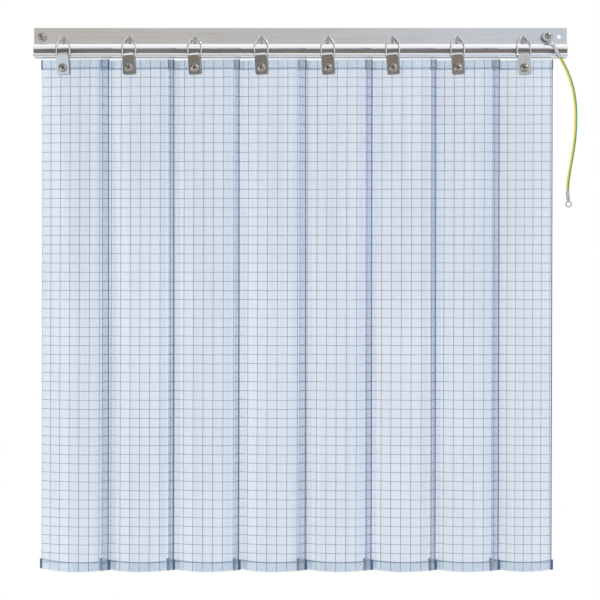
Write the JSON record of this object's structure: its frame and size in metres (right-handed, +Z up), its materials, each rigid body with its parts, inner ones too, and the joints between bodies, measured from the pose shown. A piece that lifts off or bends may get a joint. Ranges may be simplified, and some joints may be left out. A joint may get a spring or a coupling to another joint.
{
  "type": "pvc strip curtain",
  "caption": "Grid-printed PVC strip curtain on wire hooks in a stainless gutter rail, with folded clamp straps and an earth wire.",
  "frame": {"origin": "on the rail's back face, midway along it, on the line of its fixing holes", "axes": "+X along the rail to the earthed end, +Z up, +Y into the wall behind the rail"},
  "size_m": [0.7575, 0.0311, 0.7582],
  "materials": {
    "rail_steel": "satin roll-formed stainless sheet, polished along the bead",
    "wire_steel": "bright drawn stainless wire",
    "strap_steel": "pressed stainless plate, half bright",
    "fastener_steel": "turned and pressed stainless fasteners",
    "grid_pvc": "clear blue-tinted soft PVC with a printed grey conductive grid",
    "hem_pvc": "doubled soft PVC, a deeper blue than the strip",
    "earth_insulation": "green insulation with a yellow stripe",
    "lug_tin": "tinned copper, softly bright"
  },
  "bodies": {
    "rail": {"hanging_rail": "rail_steel", "fixing_bolt": "fastener_steel", "fixing_washer": "fastener_steel", "fixing_nut": "fastener_steel", "earth_bolt": "fastener_steel", "earth_nut_back": "fastener_steel", "earth_nut_front": "fastener_steel", "earth_washer_back": "fastener_steel", "earth_washer_front": "fastener_steel", "earth_lug_upper": "lug_tin", "earth_wire": "earth_insulation", "earth_lug_lower": "lug_tin"},
    "hanger_1": {"hook_1": "wire_steel"},
    "curtain_1": {"strap_1": "strap_steel", "clamp_screw_1": "fastener_steel", "clamp_nut_1": "fastener_steel", "strip_1": "grid_pvc", "top_hem_1": "hem_pvc"},
    "hanger_2": {"hook_2": "wire_steel"},
    "curtain_2": {"strap_2": "strap_steel", "clamp_screw_2": "fastener_steel", "clamp_nut_2": "fastener_steel", "strip_2": "grid_pvc", "top_hem_2": "hem_pvc"},
    "hanger_3": {"hook_3": "wire_steel"},
    "curtain_3": {"strap_3": "strap_steel", "clamp_screw_3": "fastener_steel", "clamp_nut_3": "fastener_steel", "strip_3": "grid_pvc", "top_hem_3": "hem_pvc"},
    "hanger_4": {"hook_4": "wire_steel"},
    "curtain_4": {"strap_4": "strap_steel", "clamp_screw_4": "fastener_steel", "clamp_nut_4": "fastener_steel", "strip_4": "grid_pvc", "top_hem_4": "hem_pvc"},
    "hanger_5": {"hook_5": "wire_steel"},
    "curtain_5": {"strap_5": "strap_steel", "clamp_screw_5": "fastener_steel", "clamp_nut_5": "fastener_steel", "strip_5": "grid_pvc", "top_hem_5": "hem_pvc"},
    "hanger_6": {"hook_6": "wire_steel"},
    "curtain_6": {"strap_6": "strap_steel", "clamp_screw_6": "fastener_steel", "clamp_nut_6": "fastener_steel", "strip_6": "grid_pvc", "top_hem_6": "hem_pvc"},
    "hanger_7": {"hook_7": "wire_steel"},
    "curtain_7": {"strap_7": "strap_steel", "clamp_screw_7": "fastener_steel", "clamp_nut_7": "fastener_steel", "strip_7": "grid_pvc", "top_hem_7": "hem_pvc"},
    "hanger_8": {"hook_8": "wire_steel"},
    "curtain_8": {"strap_8": "strap_steel", "clamp_screw_8": "fastener_steel", "clamp_nut_8": "fastener_steel", "strip_8": "grid_pvc", "top_hem_8": "hem_pvc"}
  },
  "joints": [
    {"name": "hook_1_slide", "type": "slide", "parent": "rail", "child": "hanger_1", "axis": [1, 0, 0], "range_m": [-0.005, 0.00075]},
    {"name": "strip_1_swing", "type": "hinge", "parent": "hanger_1", "child": "curtain_1", "pos_m": [-0.3305, -0.01912, -0.0272], "axis": [-1, 0, 0], "range_deg": [-5, 75]},
    {"name": "hook_2_slide", "type": "slide", "parent": "rail", "child": "hanger_2", "axis": [1, 0, 0], "range_m": [-0.01, 0.0015]},
    {"name": "strip_2_swing", "type": "hinge", "parent": "hanger_2", "child": "curtain_2", "pos_m": [-0.23882, -0.01912, -0.0272], "axis": [-1, 0, 0], "range_deg": [-5, 75]},
    {"name": "hook_3_slide", "type": "slide", "parent": "rail", "child": "hanger_3", "axis": [1, 0, 0], "range_m": [-0.015, 0.00225]},
    {"name": "strip_3_swing", "type": "hinge", "parent": "hanger_3", "child": "curtain_3", "pos_m": [-0.14753, -0.01912, -0.0272], "axis": [-1, 0, 0], "range_deg": [-5, 75]},
    {"name": "hook_4_slide", "type": "slide", "parent": "rail", "child": "hanger_4", "axis": [1, 0, 0], "range_m": [-0.02, 0.003]},
    {"name": "strip_4_swing", "type": "hinge", "parent": "hanger_4", "child": "curtain_4", "pos_m": [-0.05483, -0.01912, -0.0272], "axis": [-1, 0, 0], "range_deg": [-5, 75]},
    {"name": "hook_5_slide", "type": "slide", "parent": "rail", "child": "hanger_5", "axis": [1, 0, 0], "range_m": [-0.025, 0.00375]},
    {"name": "strip_5_swing", "type": "hinge", "parent": "hanger_5", "child": "curtain_5", "pos_m": [0.03788, -0.01912, -0.0272], "axis": [-1, 0, 0], "range_deg": [-5, 75]},
    {"name": "hook_6_slide", "type": "slide", "parent": "rail", "child": "hanger_6", "axis": [1, 0, 0], "range_m": [-0.03, 0.0045]},
    {"name": "strip_6_swing", "type": "hinge", "parent": "hanger_6", "child": "curtain_6", "pos_m": [0.12821, -0.01912, -0.0272], "axis": [-1, 0, 0], "range_deg": [-5, 75]},
    {"name": "hook_7_slide", "type": "slide", "parent": "rail", "child": "hanger_7", "axis": [1, 0, 0], "range_m": [-0.035, 0.00525]},
    {"name": "strip_7_swing", "type": "hinge", "parent": "hanger_7", "child": "curtain_7", "pos_m": [0.21847, -0.01912, -0.0272], "axis": [-1, 0, 0], "range_deg": [-5, 75]},
    {"name": "hook_8_slide", "type": "slide", "parent": "rail", "child": "hanger_8", "axis": [1, 0, 0], "range_m": [-0.04, 0.006]},
    {"name": "strip_8_swing", "type": "hinge", "parent": "hanger_8", "child": "curtain_8", "pos_m": [0.3106, -0.01912, -0.0272], "axis": [-1, 0, 0], "range_deg": [-5, 75]}
  ],
  "couplings": [
    {"joint": "hook_1_slide", "follows": "hook_8_slide", "ratio": 0.125},
    {"joint": "hook_2_slide", "follows": "hook_8_slide", "ratio": 0.25},
    {"joint": "strip_2_swing", "follows": "strip_1_swing", "ratio": 1},
    {"joint": "hook_3_slide", "follows": "hook_8_slide", "ratio": 0.375},
    {"joint": "strip_3_swing", "follows": "strip_1_swing", "ratio": 1},
    {"joint": "hook_4_slide", "follows": "hook_8_slide", "ratio": 0.5},
    {"joint": "strip_4_swing", "follows": "strip_1_swing", "ratio": 1},
    {"joint": "hook_5_slide", "follows": "hook_8_slide", "ratio": 0.625},
    {"joint": "strip_5_swing", "follows": "strip_1_swing", "ratio": 1},
    {"joint": "hook_6_slide", "follows": "hook_8_slide", "ratio": 0.75},
    {"joint": "strip_6_swing", "follows": "strip_1_swing", "ratio": 1},
    {"joint": "hook_7_slide", "follows": "hook_8_slide", "ratio": 0.875},
    {"joint": "strip_7_swing", "follows": "strip_1_swing", "ratio": 1},
    {"joint": "strip_8_swing", "follows": "strip_1_swing", "ratio": 1}
  ]
}
